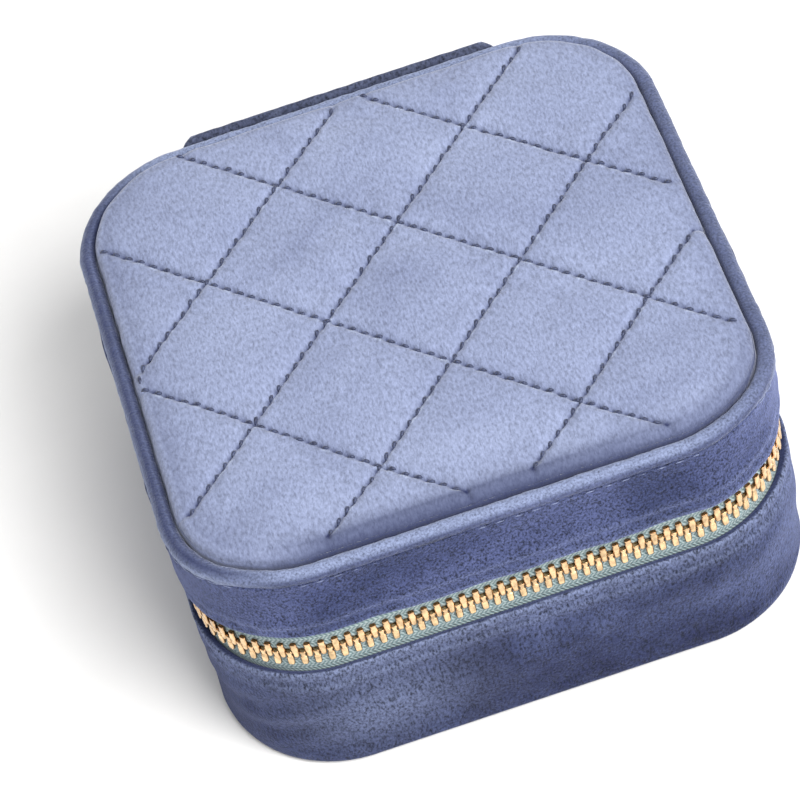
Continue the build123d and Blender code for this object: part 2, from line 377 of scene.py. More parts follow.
def suede(name, dark, light):
    n = Nodes(name, Roughness=0.92, Sheen_Weight=0.3, Sheen_Roughness=0.5, Specular_IOR_Level=0.15)
    colour = n.ramp(n.noise(60.0, 3.0, distortion=0.6), (0.3, dark), (0.7, light))
    nap = n.noise(1500.0, 3.0, roughness=0.65)
    colour = n.mix(1.0, colour, n.ramp(nap, (0.3, grey(0.78)), (0.7, grey(1.1))), "MULTIPLY")
    return n.finish(colour, nap, 0.5, 0.0002)


def woven_tape(name):
    """Herringbone rows along the tape, crossed by fine threads, with a mottled shade."""
    n = Nodes(name, Roughness=0.75, Sheen_Weight=0.15, Specular_IOR_Level=0.3)
    split = n.add("ShaderNodeSeparateXYZ", {"Vector": n.coordinates})
    height = n.math("MULTIPLY", split.outputs["Z"], CIRCLE / 0.00062)
    along = n.math("MULTIPLY", n.stored("travel"), CIRCLE / 0.78)
    fold = n.math("ABSOLUTE", n.math("SUBTRACT", n.math("FRACT", n.math(
        "DIVIDE", split.outputs["Z"], 0.0021)), 0.5))
    twill = n.math("SINE", n.math("ADD", along, n.math("MULTIPLY", fold, 14.0)))
    rib = n.math("ADD", n.math("MULTIPLY", twill, 0.32), n.math("MULTIPLY", n.math("SINE", height), 0.18))
    rib = n.math("ADD", rib, 0.5, clamp=True)
    colour = n.ramp(rib, (0.12, (0.13, 0.20, 0.215)), (0.5, (0.25, 0.345, 0.36)),
                    (0.9, (0.42, 0.51, 0.52)))
    colour = n.mix(0.3, colour, n.ramp(n.noise(900.0, 2.0), (0.3, grey(0.45)), (0.7, grey(1.0))), "MULTIPLY")
    return n.finish(colour, rib, 0.7, 0.0002)


def metal(name, colour, roughness=0.26, painted_shade=None, wear_scale=420.0, worn=0.84):
    """Plated metal: polished, with faint wear in gloss; a stored value mixes in a dark colour, painted shade
    in its low places.
    """
    n = Nodes(name, Metallic=1.0)
    wear = n.noise(wear_scale, 3.0)
    dark = tuple(worn * c for c in colour)
    tone = n.ramp(wear, (0.3, dark), (0.62, colour))
    if painted_shade:
        tone = n.mix(n.stored("painted_shade"), tone, painted_shade)
    gloss = n.ramp(n.noise(160.0, 2.0), (0.3, grey(roughness * 0.75)), (0.7, grey(roughness * 1.4)))
    return n.finish(tone, n.noise(700.0, 2.0), 0.12, 0.0001, gloss)


def plain(name, dark, light, scale, roughness=0.85, bump=0.35, depth=0.0002):
    n = Nodes(name, Roughness=roughness)
    grain = n.noise(scale, 4.0, roughness=0.6)
    return n.finish(n.ramp(grain, (0.3, dark), (0.7, light)), grain, bump, depth)


def thread(name, dark, light):
    """Twisted thread: thin slanted bands of light and dark."""
    n = Nodes(name, Roughness=0.55, Sheen_Weight=0.2)
    twist = n.noise(2600.0, 1.0, distortion=0.4)
    return n.finish(n.ramp(twist, (0.35, dark), (0.65, light)), twist, 0.5, 0.0001)


# One velvet in five copies: the top's colours are lighter and those of the sides, rim and hinge far darker,
# painted light and shade for light from above.
lit_top_velvet = velvet("velvet_top_lit", (0.192, 0.224, 0.356), (0.242, 0.281, 0.430), (0.275, 0.318, 0.474),
                    0.5, (0.84, 0.88, 1.0), (2300.0, 1050.0, 1300.0), 30.0, True, 0.42, 0.25, 0.75,
                    raised=(0.50, 0.58, 0.76))
shaded_lid_velvet = velvet("velvet_lid_side_shaded", (0.020, 0.027, 0.072), (0.032, 0.041, 0.102), (0.054, 0.067, 0.150),
                    0.45, (0.50, 0.58, 1.0), (2700.0, 2700.0, 2300.0), 36.0, False, 0.85,
                    raised=(0.115, 0.140, 0.250), spread=0.15)
shaded_base_velvet = velvet("velvet_base_side_shaded", (0.010, 0.013, 0.042), (0.018, 0.024, 0.067), (0.044, 0.056, 0.124),
                     0.28, (0.50, 0.58, 1.0), (2600.0, 2600.0, 1300.0), 30.0, True, 0.85, 0.36, 0.66,
                     raised=(0.150, 0.180, 0.290), spread=0.16)
shaded_rim_velvet = velvet("velvet_rim_shaded", (0.038, 0.048, 0.110), (0.050, 0.062, 0.135), (0.075, 0.090, 0.180),
                    0.5, (0.72, 0.79, 1.0), (2700.0, 2700.0, 2700.0), 60.0, True, 0.6,
                    raised=(0.205, 0.245, 0.385), spread=0.22)
shaded_hinge_velvet = velvet("velvet_hinge_shaded", (0.036, 0.044, 0.080), (0.053, 0.063, 0.110), (0.084, 0.098, 0.155),
                      0.45, (0.60, 0.67, 0.95), (1900.0, 1900.0, 1200.0), 50.0, False, 0.8, spread=0.2)
lining_suede = suede("lining_suede", (0.15, 0.185, 0.33), (0.22, 0.26, 0.42))
tape_cloth = woven_tape("zip_tape_weave")
gold = metal("zip_gold", (0.90, 0.61, 0.35), 0.24)
# The teeth's dark brown is painted shade on their sides and low places.
tooth_gold = metal("zip_tooth_gold", (0.95, 0.67, 0.38), 0.22, (0.30, 0.14, 0.06), 900.0, 0.55)
dark_thread = thread("thread_navy", (0.012, 0.017, 0.05), (0.045, 0.06, 0.13))
soft_thread = thread("thread_blue", (0.09, 0.115, 0.22), (0.22, 0.26, 0.42))
board = plain("box_board", (0.40, 0.36, 0.29), (0.60, 0.55, 0.46), 900.0)
foam = plain("foam_sheet", (0.62, 0.61, 0.57), (0.82, 0.81, 0.77), 1600.0, 0.95, 0.6, 0.0003)


def mirror_material():
    n = Nodes("mirror_silver", Metallic=1.0)
    haze = n.ramp(n.noise(25.0, 2.0), (0.3, grey(0.015)), (0.7, grey(0.035)))
    tone = n.ramp(n.noise(12.0, 1.0), (0.3, (0.86, 0.88, 0.89)), (0.7, (0.90, 0.915, 0.92)))
    return n.finish(tone, None, roughness=haze)


# ---- Velvet bands of the lid and the base
def stitched_groove(travel, height, at, pitch, depth, half):
    """Sunk line of stitches: a shallow groove with a dimple at each needle hole."""
    groove = bell(height, at, half)
    dimple = 0.55 + 0.45 * np.cos(travel * CIRCLE / pitch)
    return -depth * groove * dimple


def lid_band():
    corners = [(1.3, LID_EDGE, 0.4), (0, LID_EDGE, 0.6), (0.05, LID_BAND_TOP, 0.25),
               (1.3, LID_BAND_TOP, 0.2)]
    travel, shape, points = ring_points(corners, 0.55, 0.6)
    # The edge is drawn up a little more near the front left corner.
    place, normal = outline(travel)
    drawn = 0.9 * bell(place[:, 0], -34, 15) * bell(place[:, 1], -48, 15)
    points[..., 2] += drawn[:, None] * soft_step((39 - points[..., 2]) / 3.5)
    height, along = points[..., 2], travel[:, None]
    amount = 0.12 * bell(height, 36.2, 1.0) + 0.12 * waves(points, 17, 1)
    amount += stitched_groove(along, height, 37.4, RIM_LENGTH / 112, 0.30, 0.55)
    amount += 0.16 * bell(height, 38.6, 0.9) + 0.05 * waves(points, 5, 2)
    rise = soft_step((height - LID_EDGE) / 11.5)
    amount += rise * (SIDE_LEAN * abs(normal[:, :1]) - FRONT_LEAN * np.clip(-normal[:, 1:], 0, None))
    push_out(normal, points, shape, amount)
    obj = ring_object("lid_side_band", travel, points, shaded_lid_velvet, "lid", "velvet", ["lid_side_velvet"])
    # Painted sheen: lighter along the lower edge by the tape, on the bulge above the stitched groove, and
    # faintly under the rim.
    raised = 0.75 * np.exp(-np.clip(height - LID_EDGE, 0, None) / 0.8)
    raised = raised + 0.3 * np.exp(-abs(height - 38.2) / 0.5)
    add_values(obj, "raised", raised + 0.1 * np.exp(-np.clip(LID_BAND_TOP - height, 0, None) / 0.7))


def base_band():
    corners = [(1.3, BASE_EDGE - 0.85, 0.25), (0, BASE_EDGE, 0.45), (0, 0.25, 2.2), (3.2, 0.25, 0.25),
               (3.2, 1.05, 0.25), (1.3, 1.05, 0.9)]
    travel, shape, points = ring_points(corners, 0.55, 0.6)
    height, along = points[..., 2], travel[:, None]
    amount = 0.12 * bell(height, 25.1, 1.1) + 0.05 * waves(points, 6, 3)
    amount += stitched_groove(along, height, 23.5, RIM_LENGTH / 112, 0.26, 0.6)
    amount += 0.14 * bell(height, 22.0, 1.0)
    amount += 0.22 * waves(points, 24, 4) * np.sin(np.clip(height / BASE_EDGE, 0, 1) * math.pi)
    # Slack cloth at the front left corner gathers into soft slanting creases.
    place, normal = outline(travel)
    near = (bell(place[:, 0], -42, 13) * bell(place[:, 1], -42, 13))[:, None]
    slant = height + 0.35 * along
    amount += 0.32 * near * np.sin(slant * CIRCLE / 7.5) * bell(height, 14, 8)
    amount[height < 2.6] *= 0.2
    amount -= FOOT_LEAN * soft_step((20 - height) / 16) * np.clip(-normal[:, 1:], 0, None)
    push_out(normal, points, shape, amount)
    obj = ring_object("base_side_band", travel, points, shaded_base_velvet, "base", "velvet", ["base_side_velvet"])
    # The brushed patch is the nap's own lighter tone. Painted sheen lightens the top edge and the bulge below
    # the stitches, but not the lip by the tape, which painted shade darkens into a shadow line.
    brushed = 0.50 * bell(along, FRONT_LEFT, 14) * bell(height, 13, 10)
    at_tape = soft_step((shape[:, 0] - 0.20) / 0.40) * (shape[:, 1] > 20)
    add_values(obj, "raised", 0.85 * np.exp(-np.clip(26.3 - height, 0, None) / 2.2) * (1 - at_tape)
               + 0.3 * np.exp(-abs(height - 22.4) / 0.6) + brushed)
    add_values(obj, "seam", np.broadcast_to(0.8 * at_tape, height.shape))


def rim_piping():
    """Cord wrapped in velvet round the lid's top edge, a little uneven as sewn cloth is."""
    stations, sides = 660, 20
    travel = np.arange(stations) * RIM_LENGTH / stations
    turn = np.arange(sides) * CIRCLE / sides
    middle, level = 1.5, 47.55
    points = swept(travel, middle - 1.46 * np.cos(turn), level + 1.5 * np.sin(turn))
    centre = swept(travel, np.array([middle]), np.array([level]))
    away = points - centre
    size = 1 + 0.018 * waves(points, 9, 7) + 0.02 * waves(points, 2.6, 8)
    points = settle(centre + away * size[..., None])
    obj = ring_object("lid_rim_piping", travel, points, shaded_rim_velvet, "lid", "velvet", ["lid_piping"])
    # Painted light: the roll's upper half is lightened, less on the left and right walls, and on the left its
    # outer edge gets a painted sheen. Painted shade darkens its inner side and two crease lines on its left
    # top.
    up, out = np.sin(turn), np.cos(turn)
    normal = outline(travel)[1]
    left = soft_step(-normal[:, :1] * 1.3 - 0.2)
    highlight_strength = 1 - 0.80 * left - 0.80 * np.clip(normal[:, :1], 0, 1)
    edge_sheen = 0.9 * left * bell(out, 0.98, 0.14) * (up > -0.6)
    raised = highlight_strength * soft_step((up - 0.2) / 0.75) + edge_sheen
    inner = np.where(out < 0, soft_step((0.93 - up) / 0.45), 0) * 0.9
    creases = 0.80 * bell(out, 0.25, 0.36) + 0.60 * bell(out, -0.55, 0.14)
    trough_shade = left * creases * (up > 0)
    add_values(obj, "raised", np.clip(raised, 0, 1))
    add_values(obj, "seam", np.clip(inner + trough_shade, 0, 1))


def rim_stitches():
    """A run of short stitches along the rim's seam."""
    pitch, length, height = 2.9, 2.6, 46.75
    count = int(RIM_LENGTH / pitch)
    starts = np.arange(count) * RIM_LENGTH / count
    travel = starts[:, None] + np.linspace(0, 1, 5)[None] * length
    place, normal = outline(travel)
    inset = 0.10 + np.array([0.22, 0.04, 0.0, 0.04, 0.22])
    flat = place - normal * inset[None, :, None]
    lines = np.concatenate([flat, np.full((count, 5, 1), height)], -1)
    points, faces = tube_mesh(lines, np.array([0.5, 0.9, 1, 0.9, 0.5]) * 0.12)
    mesh_object("rim_seam_stitching", settle(points), faces, soft_thread, "lid", "velvet")


# ---- Quilted top
TOP_INSET, SHOULDER = 3.1, 1.8   # the top panel's inset from the outer face, and its rounded edge
PANEL = (HALF - TOP_INSET - SHOULDER, CORNER - TOP_INSET - SHOULDER)     # its half side and corner radius
CROWN = 51.75                    # height of the puffs
LATTICE = {1: (0.4, 32.5), -1: (2.8, 33.0)}      # middle and spacing of the stitch lines x + y and x - y
STITCH = 2.42                    # from one needle hole to the next


def unit_grid(n):
    return np.meshgrid(np.linspace(-1, 1, n), np.linspace(-1, 1, n))


def rounded_square(u, v, half, radius):
    """Takes the square -1..1 to a rounded square, and hardly changes its middle."""
    high, low = np.maximum(abs(u), abs(v)), np.minimum(abs(u), abs(v))
    r = low / np.maximum(high, 1e-9)
    c = half - radius
    inner = np.clip(c * c * (1 + r) ** 2 - (1 + r * r) * (2 * c * c - radius * radius), 0, None)
    arc = (c * (1 + r) + np.sqrt(inner)) / (1 + r * r)
    k = np.where(r * half <= c, half, arc) / half
    scale = half * (1 + (k - 1) * high ** 4)
    return u * scale, v * scale


def edge_distance(x, y, half, radius):
    """Distance in from the border of a rounded square."""
    qx, qy = abs(x) - (half - radius), abs(y) - (half - radius)
    outside = np.hypot(np.clip(qx, 0, None), np.clip(qy, 0, None))
    return radius - outside - np.minimum(np.maximum(qx, qy), 0)


def border_normals(x, y, half, radius):
    c = half - radius
    dx, dy = np.sign(x) * np.clip(abs(x) - c, 0, None), np.sign(y) * np.clip(abs(y) - c, 0, None)
    length = np.maximum(np.hypot(dx, dy), 1e-9)
    return dx / length, dy / length


def stitch_lines():
    """Each line as (sign, offset, start, end, bend).

    Its points have x + sign * y = offset, and x - sign * y is their run along it.
    """
    found = []
    half, radius = HALF - TOP_INSET, CORNER - TOP_INSET
    for sign in (1, -1):
        middle, spacing = LATTICE[sign]
        for k in (-1.5, -0.5, 0.5, 1.5):
            offset = middle + k * spacing
            bend = 3.2 if (sign, k) == (-1, -1.5) else 0.0
            run = np.arange(-110, 110, 0.1)
            x, y = on_line(sign, offset, bend, run)
            reach = np.where((sign < 0) & (y < -12), 2.0, 0.75)
            inside = run[edge_distance(x, y, half, radius) > reach]
            found.append((sign, offset, inside.min(), inside.max(), bend))
    return found


def line_bend(bend, run):
    """How far a bent line has turned toward its neighbour, near the left edge."""
    return bend * (np.clip(-42 - run, 0, 7) / 7) ** 2


def on_line(sign, offset, bend, run):
    """Points at a run along a line."""
    offset = offset + line_bend(bend, run)
    return (offset + run) / 2, sign * (offset - run) / 2


LINES = stitch_lines()


def line_fields(x, y):
    """Distances to the nearest stitch line and needle hole, and small tufts beside the lines, which also
    carry painted glints.
    """
    nearest, hole, tuft_glint = np.full(x.shape, 99.0), np.full(x.shape, 99.0), np.zeros(x.shape)
    rng = np.random.default_rng(8)
    for sign, offset, start, end, bend in LINES:
        run = x - sign * y
        across = (x + sign * y - offset - line_bend(bend, run)) / math.sqrt(2)
        past = np.maximum(np.maximum(start - run, run - end), 0) / math.sqrt(2)
        nearest = np.minimum(nearest, np.hypot(across, past))
        along = (run - start) / math.sqrt(2)
        to_hole = (along + STITCH / 2) % STITCH - STITCH / 2
        hole = np.minimum(hole, np.hypot(np.hypot(across, to_hole), past))
        size = rng.uniform(0, 1, 80) ** 2
        which = np.clip((along / STITCH).astype(int), 0, 79)
        below = sign * across + 0.52
        middle = np.abs(to_hole) - STITCH / 2 + 0.35
        tuft_glint += size[which] * bell(below, 0, 0.20) * bell(middle, 0, 0.40) * (past < 0.1)
    return nearest, hole, tuft_glint


def puffed_heights(n):
    """Cloth simulation of the velvet over its foam, held down on the stitch lines and at the edge."""
    x, y = rounded_square(*unit_grid(n), *PANEL)
    points = stack(x, y, np.zeros_like(x))
    obj = mesh_object("quilt_simulation", points, grid_faces(n, n), lit_top_velvet)
    near = np.minimum(line_fields(x, y)[0], edge_distance(x, y, *PANEL)).ravel()
    group = obj.vertex_groups.new(name="held")
    for i, distance in enumerate(near):
        weight = float(np.clip(1.25 - distance / 1.1, 0, 1))
        if weight > 0:
            group.add([i], weight, "REPLACE")
    cloth = obj.modifiers.new("puff", "CLOTH")
    settings = cloth.settings
    settings.quality = 6
    settings.mass = 0.15
    settings.tension_stiffness = settings.compression_stiffness = 12
    settings.shear_stiffness = 8
    settings.bending_stiffness = 0.6
    settings.use_pressure = True
    settings.uniform_pressure_force = 3.0
    settings.effector_weights.gravity = 0
    settings.shrink_min = -0.012
    settings.vertex_group_mass = "held"
    cloth.collision_settings.use_collision = False
    scene = bpy.context.scene
    for number in range(1, 19):
        scene.frame_set(number)
    shaped = obj.evaluated_get(bpy.context.evaluated_depsgraph_get()).to_mesh()
    heights = np.zeros(n * n * 3, np.float32)
    shaped.vertices.foreach_get("co", heights)
    heights = heights.reshape(n, n, 3)[..., 2] / MM
    scene.frame_set(1)
    bpy.data.objects.remove(obj)
    return np.clip(heights, -1.0, 3.0)


def finer(values, times):
    """Smoothly resamples a grid of values to `times` as many steps each way."""
    for _ in range(times):
        for axis in (0, 1):
            values = np.moveaxis(values, axis, 0)
            wide = np.empty((2 * len(values) - 1, values.shape[1]))
            wide[::2] = values
            wide[1::2] = (values[1:] + values[:-1]) / 2
            values = np.moveaxis(wide, 0, axis)
        for axis in (0, 1):
            values = np.moveaxis(values, axis, 0)
            middle = values.copy()
            middle[1:-1] = (values[2:] + values[:-2] + 2 * values[1:-1]) / 4
            values = np.moveaxis(middle, 0, axis)
    return values


def front_shade_share(x, y):
    """1 along the front edge, where painted shade darkens the panel's shoulder and seam, and less round its
    corners.
    """
    return soft_step((-y - 26) / 18) * soft_step((x + 38) / 14) * (1 - 0.5 * soft_step((x - 5) / 30))


def panel_surface(x, y, puff):
    """The panel's heights, its painted shade along the seams and edges, and its tufts with painted glints."""
    inside = edge_distance(x, y, *PANEL)
    near, hole, tuft_glint = line_fields(x, y)
    level = stack(x, y, np.zeros_like(x))
    z = CROWN - 0.40 + 0.36 * puff
    sunk = 0.45 + 0.55 * soft_step((inside + 0.4) / 2.0)
    z -= sunk * (0.60 * np.exp(-near / 0.6) + 0.22 * np.exp(-near / 2.2))
    z -= 0.24 * bell(hole, 0, 0.45)
    z += 0.12 * tuft_glint
    z += 0.08 * waves(level, 2.6, 11) * np.exp(-near / 1.3) + 0.05 * waves(level, 13, 12)
    z -= 0.35 * np.exp(-inside / 2.0)
    # Painted shade: dark lines in the stitch valleys and at the needle holes, darker near the lines and the
    # edge, and more along the front shoulder and toward the left.
    seam = 0.32 * bell(near, 0, 0.33) + 0.50 * bell(hole, 0, 0.36)
    seam = seam + 0.14 * np.exp(-near / 0.7) + 0.08 * np.exp(-inside / 1.2)
    front, left = front_shade_share(x, y), soft_step((-x - 26) / 18)
    seam = seam + 0.60 * front * np.exp(-inside / 1.5) + 0.20 * left * np.exp(-inside / 7)
    return z, np.clip(seam, 0, 1), np.clip(tuft_glint, 0, 1)


def quilted_top():
    puff = finer(puffed_heights(77), 2)
    n = len(puff)
    puff = np.clip(puff / max(np.percentile(puff, 97), 1e-6), -0.3, 1.3)
    x, y = rounded_square(*unit_grid(n), *PANEL)
    z, seam, tuft_glint = panel_surface(x, y, puff)
    flat = stack(x, y, z).reshape(-1, 3)
    edge = border(n, n)
    nx, ny = border_normals(flat[edge, 0], flat[edge, 1], *PANEL)
    base, count = flat[edge], len(edge)
    at_front = front_shade_share(base[:, 0], base[:, 1])
    # The border rolls over the shoulder, drops into the seam and turns under.
    turn = np.linspace(0, math.pi / 2, 7)[1:]
    levels = [(SHOULDER * math.sin(a), base[:, 2] - SHOULDER * (1 - math.cos(a))) for a in turn]
    levels += [(out, np.full(count, height)) for out, height in (
        (1.82, 49.3), (1.88, 48.7), (1.98, 48.1), (1.98, 47.7), (1.2, 47.45), (0.4, 47.45))]
    skirt, shade = [], []
    for out, height in levels:
        ring = stack(base[:, 0] + nx * out, base[:, 1] + ny * out, height)
        ring[:, :2] += stack(nx, ny) * (0.05 * waves(ring, 7, 13))[:, None]
        skirt.append(ring)
        # Painted shade: the skirt darkens as it drops into the seam, with a dark band along the front and
        # less on the left.
        depth = np.clip((51.0 - height) / 2.6, 0, 1)
        shade.append(0.12 + 0.56 * at_front + depth * (0.78 - 0.50 * at_front - 0.40 * soft_step(-nx)))
    points = settle(np.concatenate([flat] + skirt))
    rings = [edge] + [n * n + i * count + np.arange(count) for i in range(len(skirt))]
    faces = grid_faces(n, n) + bridges(rings)
    obj = mesh_object("quilted_top", points, faces, lit_top_velvet, "lid", "velvet", ["quilted_panel"])
    if obj.data.vertices[n * n // 2].normal.z < 0:
        obj.data.flip_normals()
    # The stored "seam" value holds the painted shade, and "raised" the painted glints on the tufts.
    add_values(obj, "seam", np.concatenate([seam.ravel()] + shade))
    add_values(obj, "raised", np.concatenate([tuft_glint.ravel(), np.zeros(len(skirt) * count)]))
    thick = obj.modifiers.new("cloth_thickness", "SOLIDIFY")
    thick.thickness, thick.offset = 0.3 * MM, -1.0
    foam_sheet(x[::2, ::2], y[::2, ::2], z[::2, ::2])
    return obj


def foam_sheet(x, y, z):
    """The foam under the quilted panel follows its underside, a little smaller."""
    share, gap = 0.985, 0.75
    points, faces = closed_slab(x * share, y * share, z - gap, 47.5, 0.9, *(share * size for size in PANEL))
    obj = mesh_object("quilt_foam_sheet", settle(points), faces, foam, "lid", "foam", ["quilt_foam"])


def quilt_stitches(top):
    """Lockstitch along the lines: each stitch arches from one needle hole to the next."""
    tree = BVHTree.FromPolygons([v.co / MM for v in top.data.vertices],
                                [p.vertices for p in top.data.polygons])
    share = np.linspace(0, 1, 7)
    lift = np.array([-0.45, -0.04, 0.14, 0.20, 0.14, -0.04, -0.45])
    lean = np.linspace(-1, 1, 7)
    rng = np.random.default_rng(5)
    lines = []
    for sign, offset, start, end, bend in LINES:
        for first in np.arange(0, (end - start) / math.sqrt(2) - STITCH * 0.7, STITCH):
            length = rng.uniform(0.50, 0.68)
            run = start + (first + STITCH * (0.06 + length * share)) * math.sqrt(2)
            x, y = on_line(sign, offset, bend, run)
            across = lean * (0.16 if sign > 0 else -0.15) + rng.normal(0, 0.06)
            x, y = x + across, y + sign * across
            places = settle(stack(x, y, np.zeros(7)))
            for place in places:
                place[2] = tree.ray_cast(Vector((place[0], place[1], 60)), Vector((0, 0, -1)))[0].z
            places[:, 2] += lift + rng.normal(0, 0.03)
            lines.append(places)
    points, faces = tube_mesh(lines, np.array([0.09, 0.20, 0.29, 0.33, 0.30, 0.20, 0.09]))
    mesh_object("quilt_stitching", points, faces, dark_thread, "lid", "velvet")


# ---- Zip
ROWS = {1: ("upper", "lid"), -1: ("lower", "base")}      # each side's name and the body it rides


def zip_tape(side):
    """Woven tape of one row: a corded edge for the teeth, a flat web and a raised rib near the velvet."""
    first, last = HINGE_HALF + 0.1, RIM_LENGTH - HINGE_HALF - 0.1
    travel = np.linspace(first, last, 500)
    heights, outer = np.array([
        (0.70, 1.55), (0.85, 1.38), (1.15, 1.34), (1.45, 1.38), (1.7, 1.45), (2.3, 1.42), (2.75, 1.40),
        (2.95, 1.33), (3.15, 1.33), (3.4, 1.40), (4.6, 1.42), (6.5, 1.42), (8.5, 1.42), (10.5, 1.42),
        (12.0, 1.45)]).T
    middle = 1.71                # inset of the tape's middle plane
    inset = np.concatenate([outer, 2 * middle - outer[::-1]])
    height = np.concatenate([heights, heights[::-1]])
    near = np.exp(-np.clip(height - 0.7, 0, None) / 1.2)
    slider = STRAIGHT + math.radians(SLIDER_TURN - 4) * CORNER
    closing = 1 / (1 + np.exp((travel - slider) / 0.8)) + 1 / (1 + np.exp((last - 8.2 - travel) / 0.8))
    parted = 0.9 * bell(travel - slider, 1.0, 2.6) - 0.55 * closing
    z = ZIP + side * (height[None] + parted[:, None] * near[None])
    points = swept(travel, inset, z)
    rows, columns = points.shape[:2]
    word, body = ROWS[side]
    obj = mesh_object(f"zip_tape_{word}_woven", points, closed_run(rows, columns), tape_cloth, body,
                      "zip_tape", [f"zip_tape_{word}"])
    add_values(obj, "travel", np.repeat(travel, columns))


def lofted(rings):
    """Points (along, depth, height) and faces of one part of a tooth.

    Each ring is (height, width, depth low, depth high, cut): a rectangle with its corners cut off.
    """
    points = []
    for height, width, low, high, cut in rings:
        w = width / 2
        c = min(cut, w * 0.6)
        outline_points = [(-w + c, low), (w - c, low), (w, low + c), (w, high - c), (w - c, high),
                          (-w + c, high), (-w, high - c), (-w, low + c)]
        points += [(along, depth, height) for along, depth in outline_points]
    return np.array(points), closed_run(len(rings), 8)


def tooth_parts(side):
    """Head over the tape's edge, and two legs crimped on each side of the tape; depth is the inset."""
    if side > 0:
        head = [(-0.62, 0.62), (-0.54, 0.88), (-0.2, 0.96), (0.2, 0.96), (0.66, 1.05)]
        leg = [(0.60, 1.08), (1.0, 1.14), (1.45, 1.16), (1.62, 0.98), (1.78, 0.98), (1.9, 1.12), (2.16, 1.10),
               (2.25, 0.9)]
    else:
        head = [(-0.62, 0.92), (-0.52, 1.10), (-0.3, 1.12), (-0.05, 0.90), (0.3, 0.84), (0.66, 1.0)]
        leg = [(0.60, 1.02), (1.0, 1.14), (1.5, 1.20), (1.95, 1.18), (2.15, 1.10), (2.25, 0.9)]
    leg_start, stretch = 0.60, 1.13
    leg = [(leg_start + (z - leg_start) * stretch, w) for z, w in leg]
    parts = [lofted([(z, w, 0.72, 2.68, 0.19) for z, w in head])]
    front = [(z, w, 0.70 + (0.14 if z > 2.5 else 0.0), 1.32, 0.18) for z, w in leg]
    back = [(z, w, 2.09, 2.70, 0.15) for z, w in leg]
    return parts + [lofted(front), lofted(back)]


def zip_teeth(side):
    """One row of teeth from the slider clockwise to the bottom stop, each a shade out of true."""
    first = STRAIGHT + math.radians(SLIDER_TURN) * CHAIN - 0.4
    last = CHAIN_LENGTH - STRAIGHT - math.radians(11) * CHAIN
    count = int((last - first) / TOOTH_PITCH)
    travel = first + (TOOTH_PITCH / 2 if side > 0 else 0) + TOOTH_PITCH * np.arange(count)
    place, normal = outline(travel, CHAIN)
    right = stack(normal[:, 1], -normal[:, 0])
    rng = np.random.default_rng(21 if side > 0 else 22)
    points, faces, painted_shade, start = [], [], [], 0
    for local, own in tooth_parts(side):
        # Painted shade: the side faces of each part darken, and the top ends of the upper legs, and faintly
        # the tips of the heads.
        low = np.clip((local[:, 1] - 0.76) / 0.24, 0, 1) * np.clip((2.6 - local[:, 1]) / 0.3, 0, 1)
        if side > 0:
            low = np.maximum(low, np.clip((local[:, 2] - 2.3) / 0.15, 0, 1))
        painted_shade.append(np.tile(np.maximum(low, np.clip((-0.30 - local[:, 2]) / 0.2, 0, 1) * 0.4), count))
        lean = rng.normal(0, 0.018, count)
        along = local[None, :, 0] + lean[:, None] * local[None, :, 2]
        flat = (place[:, None] - normal[:, None] * local[None, :, 1, None]
                + right[:, None] * along[..., None])
        z = ZIP + side * local[None, :, 2] + rng.normal(0, 0.025, (count, 1))
        points.append(np.concatenate([flat, z[..., None]], -1).reshape(-1, 3))
        faces += repeated(own, len(local), count, start)
        start += count * len(local)
    word, body = ROWS[side]
    obj = mesh_object(f"zip_teeth_{word}_row", np.concatenate(points), faces, tooth_gold, body, "zip_metal",
                      [f"zip_teeth_{word}"])
    add_values(obj, "painted_shade", np.concatenate(painted_shade))
    round_edges(obj, "soft_edges", 0.05, 2)


# ---- Hinge
def bend_at_hinge(obj):
    """Bakes the object's placement into its mesh."""
    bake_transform(obj)


def bend_dip(height):
    """How far the panel sinks at the zip's height, where it bends."""
    return 0.25 * bell(height, ZIP, 3.0)


def hinge_strip():
    """Velvet panel folded under at its edges, sewn round, and dipped a little at the zip's height."""
    half, low, high = HINGE_HALF, HINGE_LOW, HINGE_HIGH
    nx, nz = 95, 77
    x = np.linspace(-1, 1, nx) * half
    z = low + (high - low) * np.linspace(0, 1, nz)
    gx, gz = np.meshgrid(x, z)
    corner = 3.6
    beyond = np.clip(corner - np.minimum(gz - low, high - gz), 0, corner)
    reach = half - corner + np.sqrt(corner ** 2 - beyond ** 2)
    gx = gx * reach / half
    inset_edge = np.minimum(np.minimum(reach - abs(gx), gz - low), high - gz)
    field = stack(gx, np.full_like(gx, 50), gz)
    round_off = 0.62 * np.exp(-inset_edge / 0.35)
    face, sewn, groove = 51.62, 2.4, 0.3     # outer face; inset and depth of the line of stitches
    front = face - round_off - groove * bell(inset_edge, sewn, 0.45)
    front += 0.12 * waves(field, 15, 31) * (1 - np.exp(-inset_edge / 3)) + 0.04 * waves(field, 4, 32)
    front -= bend_dip(gz)
    back = 50.08 + 0.42 * np.exp(-inset_edge / 0.35)
    points, faces = two_sided(stack(gx, front, gz), stack(gx, back, gz))
    obj = mesh_object("hinge_panel_velvet", points, faces, shaded_hinge_velvet, slot="velvet",
                      replaces=["hinge_panel"])
    bend_at_hinge(obj)
    lines = []
    share = np.linspace(0, 1, 5)
    dip = np.array([-0.25, 0.02, 0.07, 0.02, -0.25])
    across, bottom, top = half - sewn, low + sewn, high - sewn
    corners = np.array([(-across, bottom), (across, bottom), (across, top), (-across, top)])
    for a, b in zip(corners, np.roll(corners, -1, 0)):
        length = np.linalg.norm(b - a)
        count = int(length / 2.6)
        for i in range(count):
            t = (i + 0.15 + 0.7 * share) / count
            line = a + (b - a) * t[:, None]
            depth = face - groove + dip - bend_dip(line[:, 1])
            lines.append(stack(line[:, 0], depth, line[:, 1]))
    points, faces = tube_mesh(lines, np.array([0.08, 0.15, 0.17, 0.15, 0.08]))
    stitches = mesh_object("hinge_panel_stitching", points, faces, soft_thread, slot="velvet")
    bend_at_hinge(stitches)


